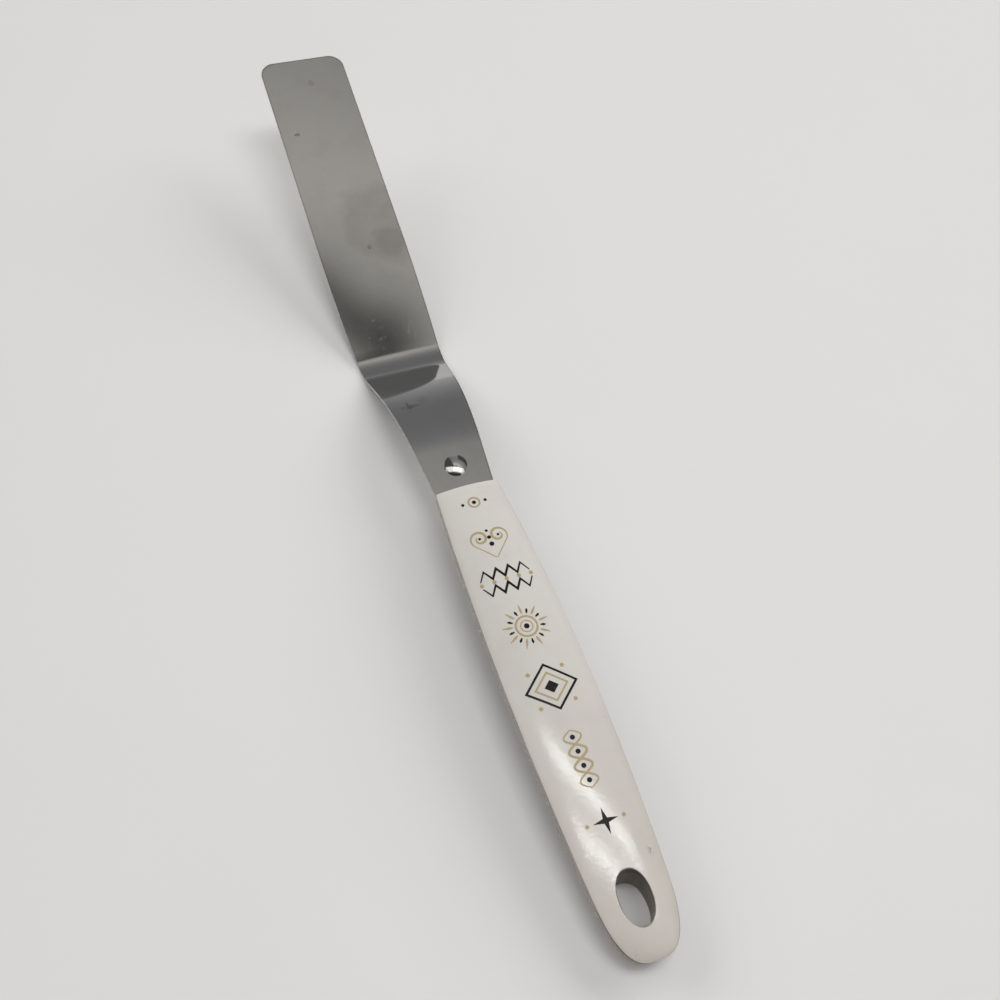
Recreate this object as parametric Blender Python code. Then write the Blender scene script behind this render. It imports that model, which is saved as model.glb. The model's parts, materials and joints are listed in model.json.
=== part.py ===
"""A cranked palette knife: one bent sheet steel blade, riveted to a moulded plastic handle.

The pieces are drawn in the blade's own frame: the flat blade lies along +X from the heel to the
tip, its upper face is Z = 0 and the handle climbs away along -X. The finished knife is then tilted
into the pose that it rests in, on its heel and on the underside of its handle.
"""
import math

import bmesh
import bpy
from mathutils import Vector

# Blade: sheet, flat and tip (metres, and radians for angles)
SHEET_THICKNESS = 0.0009
BLADE_WIDTH = 0.0320
BLADE_FLAT_LENGTH = 0.1303
TIP_CORNER_RADIUS = 0.0055

# Blade: the crank, measured on the upper face
HEEL_BEND_RADIUS = 0.0160
RISER_ANGLE = math.radians(41.5)
RISER_LENGTH = 0.0096
CREST_RADIUS = 0.0670
SHANK_ANGLE = math.radians(11.0)
SHANK_LENGTH = 0.0160

# Blade: the blank draws in on a sweep that starts on the blade, then tapers straight
WAIST_START = 0.0466
WAIST_SWEEP = 0.0860
SHANK_END_WIDTH = 0.0189

# Blade: the tang inside the handle
TANG_LENGTH = 0.0420
TANG_SHOULDER = 0.0030
TANG_CORNER_RADIUS = 0.0030

# Handle: its top line and its outline seen from above
HANDLE_LENGTH = 0.1430
HANDLE_PITCH = math.radians(4.7)
HANDLE_ARCH_RADIUS = 1.085
FRONT_STEP = 0.0021
FRONT_OVERHANG = 0.0005
WIDEST_AT = 0.0660
SIDE_SWELL = 0.0026
BUTT_NARROWING = 0.0033
BUTT_ROUND_LENGTH = 0.0200
BUTT_ROUND_POWER = 3.0

# Handle: its cross section
CROWN_RADIUS = 0.0500
EDGE_RADIUS = 0.0005
SIDE_BAND = 0.0028
SIDE_DRAFT = math.radians(2.0)
UNDERSIDE_POWER = 2.2
FRONT_DEPTH = 0.0095
DEEPEST_DEPTH = 0.0120
DEEPEST_AT = 0.0800
BUTT_DEPTH = 0.0034
BUTT_SWEEP_POWER = 3.0

# Handle: the tongue that carries the shank
TONGUE_LENGTH = 0.0185
TONGUE_INSET = 0.0003
TONGUE_TIP_THICKNESS = 0.0028
TONGUE_SIDE_BAND = 0.0009
TONGUE_CORNER_RADIUS = 0.0040
TONGUE_ROOT_STEP = 0.0004
TONGUE_ROOT_OVERLAP = 0.0050

# Handle: the oval hole that the knife hangs by
HANGING_HOLE_LENGTH = 0.0134
HANGING_HOLE_WIDTH = 0.0087
HANGING_HOLE_SETBACK = 0.0152
HANGING_HOLE_POWER = 2.3
HANGING_HOLE_LEAN = math.radians(8.0)

# Rivet: a pin pressed into a socket, through the shank and the tongue
RIVET_SETBACK = 0.0094
RIVET_HEAD_DIAMETER = 0.0071
PIN_DOME_HEIGHT = 0.0012
PIN_STEM_DIAMETER = 0.0026
SOCKET_WALL = 0.0007
SOCKET_HEAD_HEIGHT = 0.0010
SOCKET_FLOOR_THICKNESS = 0.0005
TONGUE_GRIP = 0.0026

# Clearances between pieces
SEAT_GAP = 0.0003
SLOT_CLEARANCE = 0.0002
RIVET_CLEARANCE = 0.0002

# Facets, and how far a cutter reaches past what it cuts
ARC_STEPS = 8
SWEEP_STEPS = 14
SECTION_STEPS = 7
BUTT_STEPS = 10
ROUND_STEPS = 32
SHARP_ANGLE = math.radians(40.0)
CUTTER_MARGIN = 0.0060

# Limits of the modelling itself
ROUND_SHARE_OF_WALL = 1 / 3
MERGE_DISTANCE = 1e-6
PITCH_HALVINGS = 40


def heel_arc():
    return HEEL_BEND_RADIUS * RISER_ANGLE


def crest_arc():
    return CREST_RADIUS * (RISER_ANGLE - SHANK_ANGLE)


def handle_front():
    """Length along the sheet, from the heel, at which the shank meets the handle."""
    return heel_arc() + RISER_LENGTH + crest_arc() + SHANK_LENGTH


def sheet_point(length):
    """Point on the sheet's upper face and its slope, at a length from the heel to the handle."""
    runs = (
        (heel_arc(), 1.0 / HEEL_BEND_RADIUS),
        (RISER_LENGTH, 0.0),
        (crest_arc(), -1.0 / CREST_RADIUS),
        (math.inf, 0.0),
    )
    place = Vector((-min(length, 0.0), 0.0, 0.0))
    slope = 0.0
    left = max(length, 0.0)
    for run, bend in runs:
        step = min(run, left)
        onward = slope + step * bend
        if bend:
            place.x -= (math.sin(onward) - math.sin(slope)) / bend
            place.z += (math.cos(slope) - math.cos(onward)) / bend
        else:
            place.x -= step * math.cos(slope)
            place.z += step * math.sin(slope)
        slope = onward
        left -= step
    return place, slope


def up(slope):
    """Unit vector square to a line that climbs towards -X at a slope."""
    return Vector((math.sin(slope), 0.0, math.cos(slope)))


def sheet_half_width(length):
    """Half the blank's width: parallel, then a parabolic sweep, then a straight taper."""
    total = WAIST_START + handle_front()
    drop = (BLADE_WIDTH - SHANK_END_WIDTH) / 2
    taper = drop / (total - WAIST_SWEEP / 2)
    drawn = max(length + WAIST_START, 0.0)
    swept = min(drawn, WAIST_SWEEP)
    return BLADE_WIDTH / 2 - taper * (swept**2 / (2 * WAIST_SWEEP) + drawn - swept)


def tang_half_width():
    return SHANK_END_WIDTH / 2 - TANG_SHOULDER


def handle_point(along):
    """Point midway between the handle's top edges and its slope, at a length from its front."""
    place, slope = sheet_point(handle_front())
    start = slope + HANDLE_PITCH
    onward = start - along / HANDLE_ARCH_RADIUS
    place = place + up(slope) * FRONT_STEP
    place.x -= HANDLE_ARCH_RADIUS * (math.sin(start) - math.sin(onward))
    place.z += HANDLE_ARCH_RADIUS * (math.cos(onward) - math.cos(start))
    return place, onward


def handle_side(along):
    """Half the handle's width before its butt is rounded off."""
    widest = SHANK_END_WIDTH / 2 + FRONT_OVERHANG + SIDE_SWELL
    if along < WIDEST_AT:
        return widest - SIDE_SWELL * (1 - along / WIDEST_AT) ** 2
    return widest - BUTT_NARROWING * ((along - WIDEST_AT) / (HANDLE_LENGTH - WIDEST_AT)) ** 2


def handle_depth(along):
    """Depth of the underside below the handle's top edges."""
    if along < DEEPEST_AT:
        return DEEPEST_DEPTH - (DEEPEST_DEPTH - FRONT_DEPTH) * (1 - along / DEEPEST_AT) ** 2
    swept = (along - DEEPEST_AT) / (HANDLE_LENGTH - DEEPEST_AT)
    return DEEPEST_DEPTH - (DEEPEST_DEPTH - BUTT_DEPTH) * swept**BUTT_SWEEP_POWER


def oval(angle, power):
    """Unit oval's cosine-like and sine-like legs at an angle in the first quarter."""
    return math.cos(angle) ** (2 / power), math.sin(angle) ** (2 / power)


def section(half, crown, depth, band):
    """Right half of a moulded section, from the middle of its top to the middle of its underside.

    The points are (across, up) from the level of the top edges: a crowned top, a small round on
    the edge, a drafted side band and an oval underside.
    """
    edge = min(EDGE_RADIUS, half * ROUND_SHARE_OF_WALL, band * ROUND_SHARE_OF_WALL)
    bevel = edge * (1 - math.cos(math.pi / 4))
    points = []
    for step in range(SECTION_STEPS):
        across = (half - edge) * step / (SECTION_STEPS - 1)
        points.append((across, crown * (1 - (across / half) ** 2)))
    points.append((half - bevel, -bevel))
    points.append((half, -edge))
    lower = half - min(band * math.tan(SIDE_DRAFT), edge)
    for step in range(SECTION_STEPS + 1):
        leg_across, leg_down = oval(math.pi / 2 * step / SECTION_STEPS, UNDERSIDE_POWER)
        points.append((lower * leg_across, -band - (depth - band) * leg_down))
    points[-1] = (0.0, -depth)
    return points


def ring(place, slope, half_section):
    """Closed ring of points from a half section and its mirror image, stood square to a line."""
    other_half = [(-across, height) for across, height in half_section[-2:0:-1]]
    rise = up(slope)
    whole = half_section + other_half
    return [place + Vector((0.0, across, 0.0)) + rise * height for across, height in whole]


def loft(rings):
    """Closed skin over a row of rings that have equally many points."""
    mesh = bmesh.new()
    rows = [[mesh.verts.new(point) for point in points] for points in rings]
    for near, far in zip(rows, rows[1:]):
        for index in range(len(near)):
            follow = (index + 1) % len(near)
            mesh.faces.new((near[index], near[follow], far[follow], far[index]))
    mesh.faces.new(rows[0])
    mesh.faces.new(rows[-1])
    bmesh.ops.recalc_face_normals(mesh, faces=mesh.faces)
    return mesh


def prism(outline, place, slope, low, high):
    """Solid between two heights square to a sloped line, from an (along, across) outline."""
    run = Vector((-math.cos(slope), 0.0, math.sin(slope)))
    rise = up(slope)
    flat = [place + run * along + Vector((0.0, across, 0.0)) for along, across in outline]
    return loft([[point + rise * height for point in flat] for height in (low, high)])


def lathe(profile, place, slope):
    """Solid of revolution about a line square to a slope, from (radius, height) points."""
    mesh = bmesh.new()
    rise = up(slope)
    run = Vector((-math.cos(slope), 0.0, math.sin(slope)))
    points = [mesh.verts.new(place + run * radius + rise * height) for radius, height in profile]
    edges = [mesh.edges.new(pair) for pair in zip(points, points[1:])]
    bmesh.ops.spin(
        mesh,
        geom=points + edges,
        cent=place,
        axis=rise,
        angle=2 * math.pi,
        steps=ROUND_STEPS,
        use_merge=True,
    )
    bmesh.ops.remove_doubles(mesh, verts=mesh.verts, dist=MERGE_DISTANCE)
    bmesh.ops.recalc_face_normals(mesh, faces=mesh.faces)
    return mesh


def material(name, colour, roughness, metallic):
    """Principled material with one colour."""
    made = bpy.data.materials.new(name)
    made.use_nodes = True
    shader = made.node_tree.nodes["Principled BSDF"]
    shader.inputs["Base Color"].default_value = (*colour, 1.0)
    shader.inputs["Roughness"].default_value = roughness
    shader.inputs["Metallic"].default_value = metallic
    return made


def add_object(name, mesh, look=None):
    """Scene object from a bmesh; one without a material is a cutter, which isn't a piece."""
    data = bpy.data.meshes.new(name)
    mesh.to_mesh(data)
    mesh.free()
    made = bpy.data.objects.new(name, data)
    bpy.context.scene.collection.objects.link(made)
    if look:
        data.materials.append(look)
        data.shade_smooth()
        data.set_sharp_from_angle(angle=SHARP_ANGLE)
    else:
        made.hide_render = True
        made.display_type = "WIRE"
    return made


def boolean(target, tool, operation):
    """Joins a tool to an object, or cuts the object with it."""
    step = target.modifiers.new(tool.name, "BOOLEAN")
    step.object = tool
    step.operation = operation
    step.solver = "EXACT"


def rivet_place():
    return sheet_point(handle_front() - RIVET_SETBACK)


def seat_depth():
    """Depth of the tongue's seat below the shank's upper face."""
    return SHEET_THICKNESS + SEAT_GAP


def socket_bore():
    """Radius of the hole in the socket's barrel, which takes the pin's stem."""
    return PIN_STEM_DIAMETER / 2 + RIVET_CLEARANCE


def socket_barrel():
    """Radius of the outside of the socket's barrel."""
    return socket_bore() + SOCKET_WALL


def rivet_bore(name):
    """Cutter for the rivet's barrel, right through the shank and the tongue."""
    radius = socket_barrel() + RIVET_CLEARANCE
    reach = seat_depth() + TONGUE_GRIP + CUTTER_MARGIN
    profile = ((0.0, CUTTER_MARGIN), (radius, CUTTER_MARGIN), (radius, -reach), (0.0, -reach))
    return add_object(name, lathe(profile, *rivet_place()))


def blade_stations():
    """Lengths from the heel and half widths along the blank, from the tip to the handle's front."""
    straight = BLADE_FLAT_LENGTH - TIP_CORNER_RADIUS
    for step in range(ARC_STEPS, 0, -1):
        angle = math.pi / 2 * step / ARC_STEPS
        length = -straight - TIP_CORNER_RADIUS * math.sin(angle)
        yield length, sheet_half_width(length) - TIP_CORNER_RADIUS * (1 - math.cos(angle))
    lengths = [-straight]
    lengths += [-WAIST_START * (1 - step / SWEEP_STEPS) for step in range(SWEEP_STEPS)]
    lengths += [heel_arc() * step / ARC_STEPS for step in range(ARC_STEPS + 1)]
    crest = heel_arc() + RISER_LENGTH
    lengths += [crest + crest_arc() * step / SWEEP_STEPS for step in range(SWEEP_STEPS + 1)]
    lengths.append(handle_front() - SEAT_GAP)
    for length in lengths:
        yield length, sheet_half_width(length)


def tang_stations():
    """Lengths and half widths along the tang, from the handle's front to its rounded end."""
    straight = handle_front() + TANG_LENGTH - TANG_CORNER_RADIUS
    for step in range(ARC_STEPS + 1):
        angle = math.pi / 2 * step / ARC_STEPS
        length = straight + TANG_CORNER_RADIUS * math.sin(angle)
        yield length, tang_half_width() - TANG_CORNER_RADIUS * (1 - math.cos(angle))


def make_blade():
    """Blade, crank, shank and tang: one sheet, thickened below its upper face."""
    mesh = bmesh.new()
    inner = tang_half_width() / (SHANK_END_WIDTH / 2)
    rows = []
    for length, half in blade_stations():
        place, _ = sheet_point(length)
        columns = [Vector((0.0, half * share, 0.0)) for share in (-1.0, -inner, inner, 1.0)]
        rows.append([mesh.verts.new(place + across) for across in columns])
    for near, far in zip(rows, rows[1:]):
        for column in range(3):
            mesh.faces.new((near[column], near[column + 1], far[column + 1], far[column]))
    end = rows[-1][1:3]
    for length, half in tang_stations():
        place, _ = sheet_point(length)
        row = [mesh.verts.new(place + Vector((0.0, across, 0.0))) for across in (-half, half)]
        mesh.faces.new((end[0], end[1], row[1], row[0]))
        end = row
    steel = material("satin_steel", colour=(0.33, 0.32, 0.31), roughness=0.32, metallic=1.0)
    blade = add_object("blade", mesh, steel)
    thicken = blade.modifiers.new("sheet", "SOLIDIFY")
    thicken.thickness = SHEET_THICKNESS
    thicken.offset = -1.0
    thicken.use_even_offset = True
    boolean(blade, rivet_bore("blade_rivet_bore"), "DIFFERENCE")
    return blade


def handle_rings():
    """Sections of the handle from its front to its rounded butt."""
    round_start = HANDLE_LENGTH - BUTT_ROUND_LENGTH
    stations = [(round_start * step / SWEEP_STEPS, 1.0) for step in range(SWEEP_STEPS)]
    for step in range(BUTT_STEPS):
        inward, onward = oval(math.pi / 2 * step / BUTT_STEPS, BUTT_ROUND_POWER)
        stations.append((round_start + BUTT_ROUND_LENGTH * onward, inward))
    for along, share in stations:
        half = handle_side(along) * share
        crown = half**2 / (2 * CROWN_RADIUS)
        depth = handle_depth(along)
        band = min(SIDE_BAND, depth / 2)
        yield ring(*handle_point(along), section(half, crown, depth, band))


def tongue_rings():
    """Sections of the tongue below the shank, from its tip to a root inside the handle."""
    root = FRONT_DEPTH - FRONT_STEP - seat_depth() - TONGUE_ROOT_STEP
    tip = handle_front() - TONGUE_LENGTH
    stations = []
    for step in range(ARC_STEPS):
        angle = math.pi / 2 * (1 - step / ARC_STEPS)
        ahead = TONGUE_CORNER_RADIUS * (1 - math.sin(angle))
        stations.append((tip + ahead, TONGUE_CORNER_RADIUS * (1 - math.cos(angle))))
    straight = TONGUE_LENGTH - TONGUE_CORNER_RADIUS + TONGUE_ROOT_OVERLAP
    for step in range(ARC_STEPS + 1):
        stations.append((tip + TONGUE_CORNER_RADIUS + straight * step / ARC_STEPS, 0.0))
    for length, corner in stations:
        place, slope = sheet_point(length)
        half = sheet_half_width(min(length, handle_front())) - TONGUE_INSET - corner
        share = min((length - tip) / TONGUE_LENGTH, 1.0)
        thickness = TONGUE_TIP_THICKNESS + (root - TONGUE_TIP_THICKNESS) * share
        seat = place - up(slope) * seat_depth()
        yield ring(seat, slope, section(half, 0.0, thickness, TONGUE_SIDE_BAND))


def tang_slot():
    """Cutter for the slot that takes the tang."""
    place, slope = sheet_point(handle_front())
    half = tang_half_width() + SLOT_CLEARANCE
    far = TANG_LENGTH + SLOT_CLEARANCE
    outline = ((-CUTTER_MARGIN, -half), (-CUTTER_MARGIN, half), (far, half), (far, -half))
    mesh = prism(outline, place, slope, -SHEET_THICKNESS - SLOT_CLEARANCE, SLOT_CLEARANCE)
    return add_object("tang_slot", mesh)


def spot_face():
    """Cutter that seats the socket's head flat in the tongue's underside."""
    radius = RIVET_HEAD_DIAMETER / 2 + RIVET_CLEARANCE
    seat = -seat_depth() - TONGUE_GRIP
    below = seat - CUTTER_MARGIN
    profile = ((0.0, seat), (radius, seat), (radius, below), (0.0, below))
    return add_object("spot_face", lathe(profile, *rivet_place()))


def hanging_hole():
    """Cutter for the oval hole, which leans so that its lower end is nearer the butt."""
    outline = []
    for step in range(ROUND_STEPS):
        angle = 2 * math.pi * step / ROUND_STEPS
        leg_along = math.copysign(abs(math.cos(angle)) ** (2 / HANGING_HOLE_POWER), math.cos(angle))
        leg_across = math.copysign(abs(math.sin(angle)) ** (2 / HANGING_HOLE_POWER), math.sin(angle))
        outline.append((HANGING_HOLE_LENGTH / 2 * leg_along, HANGING_HOLE_WIDTH / 2 * leg_across))
    place, slope = handle_point(HANDLE_LENGTH - HANGING_HOLE_SETBACK)
    mesh = prism(outline, place, slope + HANGING_HOLE_LEAN, -DEEPEST_DEPTH - CUTTER_MARGIN, CUTTER_MARGIN)
    return add_object("hanging_hole", mesh)


def make_handle():
    """Moulded handle with its tongue, the tang's slot, the rivet's bore and the hanging hole."""
    plastic = material("cream_plastic", colour=(0.66, 0.63, 0.58), roughness=0.35, metallic=0.0)
    handle = add_object("handle", loft(list(handle_rings())), plastic)
    boolean(handle, add_object("tongue", loft(list(tongue_rings()))), "UNION")
    boolean(handle, tang_slot(), "DIFFERENCE")
    boolean(handle, rivet_bore("handle_rivet_bore"), "DIFFERENCE")
    boolean(handle, spot_face(), "DIFFERENCE")
    boolean(handle, hanging_hole(), "DIFFERENCE")
    return handle


def make_rivet_pin():
    """Domed head on the shank, with a stem that fills the socket."""
    head = RIVET_HEAD_DIAMETER / 2
    stem = PIN_STEM_DIAMETER / 2
    end = -seat_depth() - TONGUE_GRIP
    profile = [(0.0, end), (stem, end), (stem, RIVET_CLEARANCE)]
    for step in range(ARC_STEPS):
        angle = math.pi / 2 * step / ARC_STEPS
        profile.append((head * math.cos(angle), RIVET_CLEARANCE + PIN_DOME_HEIGHT * math.sin(angle)))
    profile.append((0.0, RIVET_CLEARANCE + PIN_DOME_HEIGHT))
    bright = material("polished_rivet", colour=(0.72, 0.72, 0.72), roughness=0.08, metallic=1.0)
    return add_object("rivet_pin", lathe(profile, *rivet_place()), bright)


def make_rivet_socket():
    """Barrel through the tongue and the shank, on a shallow head below the tongue."""
    head = RIVET_HEAD_DIAMETER / 2
    mouth = -RIVET_CLEARANCE
    seat = -seat_depth() - TONGUE_GRIP - RIVET_CLEARANCE
    floor = seat - SOCKET_HEAD_HEIGHT + SOCKET_FLOOR_THICKNESS
    profile = [(0.0, floor), (socket_bore(), floor), (socket_bore(), mouth)]
    profile += [(socket_barrel(), mouth), (socket_barrel(), seat)]
    for step in range(ARC_STEPS):
        angle = math.pi / 2 * step / ARC_STEPS
        profile.append((head * math.cos(angle), seat - SOCKET_HEAD_HEIGHT * math.sin(angle)))
    profile.append((0.0, seat - SOCKET_HEAD_HEIGHT))
    plain = material("plain_rivet", colour=(0.55, 0.55, 0.54), roughness=0.25, metallic=1.0)
    return add_object("rivet_socket", lathe(profile, *rivet_place()), plain)


def finished_points(piece):
    """The piece's corners with all its cuts made."""
    shape = piece.evaluated_get(bpy.context.evaluated_depsgraph_get())
    return [vertex.co.copy() for vertex in shape.data.vertices]


def lowest(points, pitch):
    return min(point.x * math.sin(pitch) + point.z * math.cos(pitch) for point in points)


def resting_pitch(front, rear):
    """Pitch at which the blade's heel and the handle's underside touch the same level surface."""
    low = 0.0
    high = math.pi / 4
    for _ in range(PITCH_HALVINGS):
        middle = (low + high) / 2
        if lowest(rear, middle) > lowest(front, middle):
            low = middle
        else:
            high = middle
    return (low + high) / 2


def lay_down(blade, handle):
    """Tilts the whole knife into its resting pose, centred over the origin on the surface Z = 0."""
    front = finished_points(blade)
    rear = finished_points(handle)
    pitch = resting_pitch(front, rear)
    reach = [point.x * math.cos(pitch) - point.z * math.sin(pitch) for point in front + rear]
    pose = bpy.data.objects.new("resting_pose", None)
    bpy.context.scene.collection.objects.link(pose)
    pose.rotation_euler = (0.0, -pitch, 0.0)
    pose.location = (-(max(reach) + min(reach)) / 2, 0.0, -lowest(front, pitch))
    for piece in bpy.context.scene.collection.objects:
        if piece is not pose:
            piece.parent = pose


def main():
    for old in list(bpy.data.objects):
        bpy.data.objects.remove(old)
    blade = make_blade()
    handle = make_handle()
    make_rivet_pin()
    make_rivet_socket()
    lay_down(blade, handle)


main()
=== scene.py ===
"""Cranked palette knife: rolled steel blade, moulded and printed handle, rivet and a plain stage.

Each piece is drawn in the blade's own frame: the flat blade lies along +X from the heel to the tip,
its upper face is Z = 0 and the handle climbs away along -X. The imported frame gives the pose.
"""

import json
import math

import bmesh
import bpy
from bpy.props import FloatProperty, FloatVectorProperty, PointerProperty
from mathutils import Matrix, Vector


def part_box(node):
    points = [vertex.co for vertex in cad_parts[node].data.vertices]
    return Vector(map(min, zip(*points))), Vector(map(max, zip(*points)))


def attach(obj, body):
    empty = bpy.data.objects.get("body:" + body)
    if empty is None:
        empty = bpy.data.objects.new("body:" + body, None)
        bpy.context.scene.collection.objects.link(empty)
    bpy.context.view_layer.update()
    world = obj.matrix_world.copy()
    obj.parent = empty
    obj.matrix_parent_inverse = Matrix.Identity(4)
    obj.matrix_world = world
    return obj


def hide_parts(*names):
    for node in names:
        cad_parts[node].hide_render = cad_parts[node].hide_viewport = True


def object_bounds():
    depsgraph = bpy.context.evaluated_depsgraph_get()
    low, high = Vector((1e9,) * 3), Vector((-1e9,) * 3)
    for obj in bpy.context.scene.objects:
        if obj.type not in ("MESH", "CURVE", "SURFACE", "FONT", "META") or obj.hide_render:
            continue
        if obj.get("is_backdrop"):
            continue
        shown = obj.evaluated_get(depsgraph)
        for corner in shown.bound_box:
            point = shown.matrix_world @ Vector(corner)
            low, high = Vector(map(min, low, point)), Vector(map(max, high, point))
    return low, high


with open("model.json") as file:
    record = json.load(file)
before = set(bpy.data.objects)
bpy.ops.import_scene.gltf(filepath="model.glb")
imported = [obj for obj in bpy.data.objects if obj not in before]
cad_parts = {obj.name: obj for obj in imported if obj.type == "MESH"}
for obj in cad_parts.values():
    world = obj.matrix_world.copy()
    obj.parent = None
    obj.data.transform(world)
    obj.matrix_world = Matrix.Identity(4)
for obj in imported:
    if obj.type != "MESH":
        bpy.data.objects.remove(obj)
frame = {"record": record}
CAD_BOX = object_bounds()

bl_info = {
    "name": "Palette knife",
    "version": (1, 0, 0),
    "blender": (4, 5, 0),
    "location": "3D View > Sidebar > Palette knife",
    "description": "Builds a cranked palette knife with a printed plastic handle, and its stage",
    "category": "Add Mesh",
}

# Fineness of the meshes
ARC_STEPS = 16
CREST_STEPS = 32
TOP_STEPS = 18
EDGE_STEPS = 5
BEVEL_STEPS = 3
UNDERSIDE_STEPS = 18
HANDLE_STEPS = 72
BUTT_STEPS = 30
ROUND_STEPS = 72
SHARP_ANGLE = math.radians(35.0)
MERGE_DISTANCE = 1e-6
CUTTER_MARGIN = 0.006
LONGEST_STEP = 0.0007
ROUND_SHARE_OF_WALL = 1 / 3
MM = 0.001
RIM = "rim"
RIM_ZERO = 0.05
BUTT_TRIM = 0.00018


# Property makers

def length(name, description, default):
    return FloatProperty(
        name=name, description=description, default=default,
        min=0.0, precision=5, subtype="DISTANCE", unit="LENGTH",
    )


def angle(name, description, degrees):
    return FloatProperty(
        name=name, description=description, default=math.radians(degrees), subtype="ANGLE", unit="ROTATION"
    )


def number(name, description, default):
    return FloatProperty(name=name, description=description, default=default, min=0.0)


def power(name, description, default):
    return FloatProperty(
        name=name, description=description, default=default, min=0.0, subtype="POWER", unit="POWER"
    )


def colour(name, description, default):
    return FloatVectorProperty(
        name=name, description=description, default=default, size=3, min=0.0, max=1.0, subtype="COLOR"
    )


def place(name, description, default):
    return FloatVectorProperty(
        name=name, description=description, default=default, size=3, subtype="TRANSLATION", unit="LENGTH"
    )


def group(kind, name, description):
    return PointerProperty(type=kind, name=name, description=description)


# Settings

class BladeSettings(bpy.types.PropertyGroup):
    """The one steel sheet that is blade, crank, shank and tang."""

    thickness: length("Thickness", "Thickness of the rolled sheet", 0.0009)
    width: length("Width", "Width of the flat blade", 0.0320)
    flat_length: length("Flat length", "Length of the flat from the heel to the tip", 0.1303)
    tip_corner: length("Tip corner", "Radius of the two corners at the tip", 0.0055)
    heel_radius: length("Heel radius", "Radius of the bend at the heel", 0.0160)
    riser_angle: angle("Riser angle", "Climb of the riser above the flat", 41.5)
    riser_length: length("Riser length", "Straight length of the riser", 0.0096)
    crest_radius: length("Crest radius", "Radius of the bend from riser to shank", 0.0670)
    shank_angle: angle("Shank angle", "Climb of the shank above the flat", 11.0)
    shank_length: length("Shank length", "Straight length of the shank up to the handle", 0.0160)
    waist_start: length("Waist start", "Where the blank starts to narrow, ahead of the heel", 0.0466)
    waist_sweep: length("Waist sweep", "Length over which the narrowing sets in", 0.0860)
    shank_end_width: length("Shank end width", "Width of the shank at the handle", 0.0189)
    tang_length: length("Tang length", "Length of the tang inside the handle", 0.0420)
    tang_shoulder: length("Tang shoulder", "Step from the shank's side to the tang's", 0.0030)
    tang_corner: length("Tang corner", "Radius of the corners at the tang's end", 0.0030)
    edge_round: length("Edge round", "Width of the tumbled round on the sheet's edges", 0.00016)
    steel: colour("Steel", "Colour of the clean steel", (0.58, 0.572, 0.555))
    # Also the colour of the painted shade on the sheet's cut edges
    tarnish_and_edge_shade: colour("Tarnish", "Colour of the stained steel", (0.36, 0.34, 0.31))


class HandleSettings(bpy.types.PropertyGroup):
    """The moulded handle with its tongue and hanging hole."""

    length: length("Length", "Length of the handle along its top", 0.1430)
    pitch: angle("Pitch", "Climb of the handle's top above the shank", 4.7)
    arch_radius: length("Arch radius", "Radius of the lengthwise arch of the top", 1.085)
    front_step: length("Front step", "Height of the top edges above the shank", 0.0021)
    front_overhang: length("Front overhang", "How far the front is wider than the shank, each side", 0.0005)
    front_round: length("Front round", "Radius of the round on the front's rim", 0.0005)
    widest_at: length("Widest at", "Where the handle is widest, behind its front", 0.0660)
    side_swell: length("Side swell", "Gain in half width from the front to the widest place", 0.0026)
    butt_narrowing: length("Butt narrowing", "Loss in half width from the widest place to the butt", 0.0033)
    butt_round: length("Butt round", "Length over which the butt is rounded off", 0.0200)
    butt_power: number("Butt squareness", "Power of the oval that rounds the butt", 3.0)
    crown_radius: length("Crown radius", "Radius of the top across the handle", 0.0500)
    edge_radius: length("Edge radius", "Radius of the round on the top edges", 0.00035)
    side_band: length("Side band", "Height of the flat band below the top edges", 0.0028)
    side_draft: angle("Side draft", "Draft of that band", 2.0)
    underside_power: number("Underside squareness", "Power of the oval of the underside", 2.2)
    front_depth: length("Front depth", "Depth of the handle at its front", 0.0095)
    deepest_depth: length("Deepest depth", "Depth of the handle where it is deepest", 0.01197)
    deepest_at: length("Deepest at", "Where the handle is deepest, behind its front", 0.0800)
    butt_depth: length("Butt depth", "Depth of the handle at its butt", 0.0034)
    butt_sweep: number("Butt sweep", "Power of the sweep of the underside up to the butt", 3.0)
    tongue_length: length("Tongue length", "Length of the tongue below the shank", 0.0185)
    tongue_inset: length("Tongue inset", "How far the tongue stays inside the shank's sides", 0.0003)
    tongue_tip: length("Tongue tip", "Thickness of the tongue at its tip", 0.0028)
    tongue_band: length("Tongue band", "Height of the flat band on the tongue's sides", 0.0009)
    tongue_corner: length("Tongue corner", "Radius of the corners at the tongue's tip", 0.0040)
    tongue_root_step: length("Tongue root step", "Rise of the root above the handle's underside", 0.0004)
    tongue_overlap: length("Tongue overlap", "How far the root runs into the handle", 0.0050)
    hole_length: length("Hole length", "Length of the hanging hole", 0.0134)
    hole_width: length("Hole width", "Width of the hanging hole", 0.0087)
    hole_setback: length("Hole setback", "Middle of the hole, ahead of the butt's end", 0.0152)
    hole_power: number("Hole squareness", "Power of the hole's oval", 2.3)
    hole_lean: angle("Hole lean", "Lean of the hole towards the butt on its way down", 10.5)
    hole_round: length("Hole round", "Radius of the round on the hole's upper rim", 0.0002)
    seat_gap: length("Seat gap", "Gap between the tongue and the shank", 0.0003)
    slot_clearance: length("Slot clearance", "Gap round the tang", 0.0002)
    plastic: colour("Plastic", "Colour of the clean plastic", (0.690, 0.672, 0.645))
    yellowed: colour("Yellowed plastic", "Colour of the plastic where it has aged", (0.575, 0.520, 0.472))
    # Also the colour of the painted shade on the handle's top edges, side bands and hole
    grime_and_shade: colour("Grime", "Colour of the specks in the plastic", (0.16, 0.13, 0.10))


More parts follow.
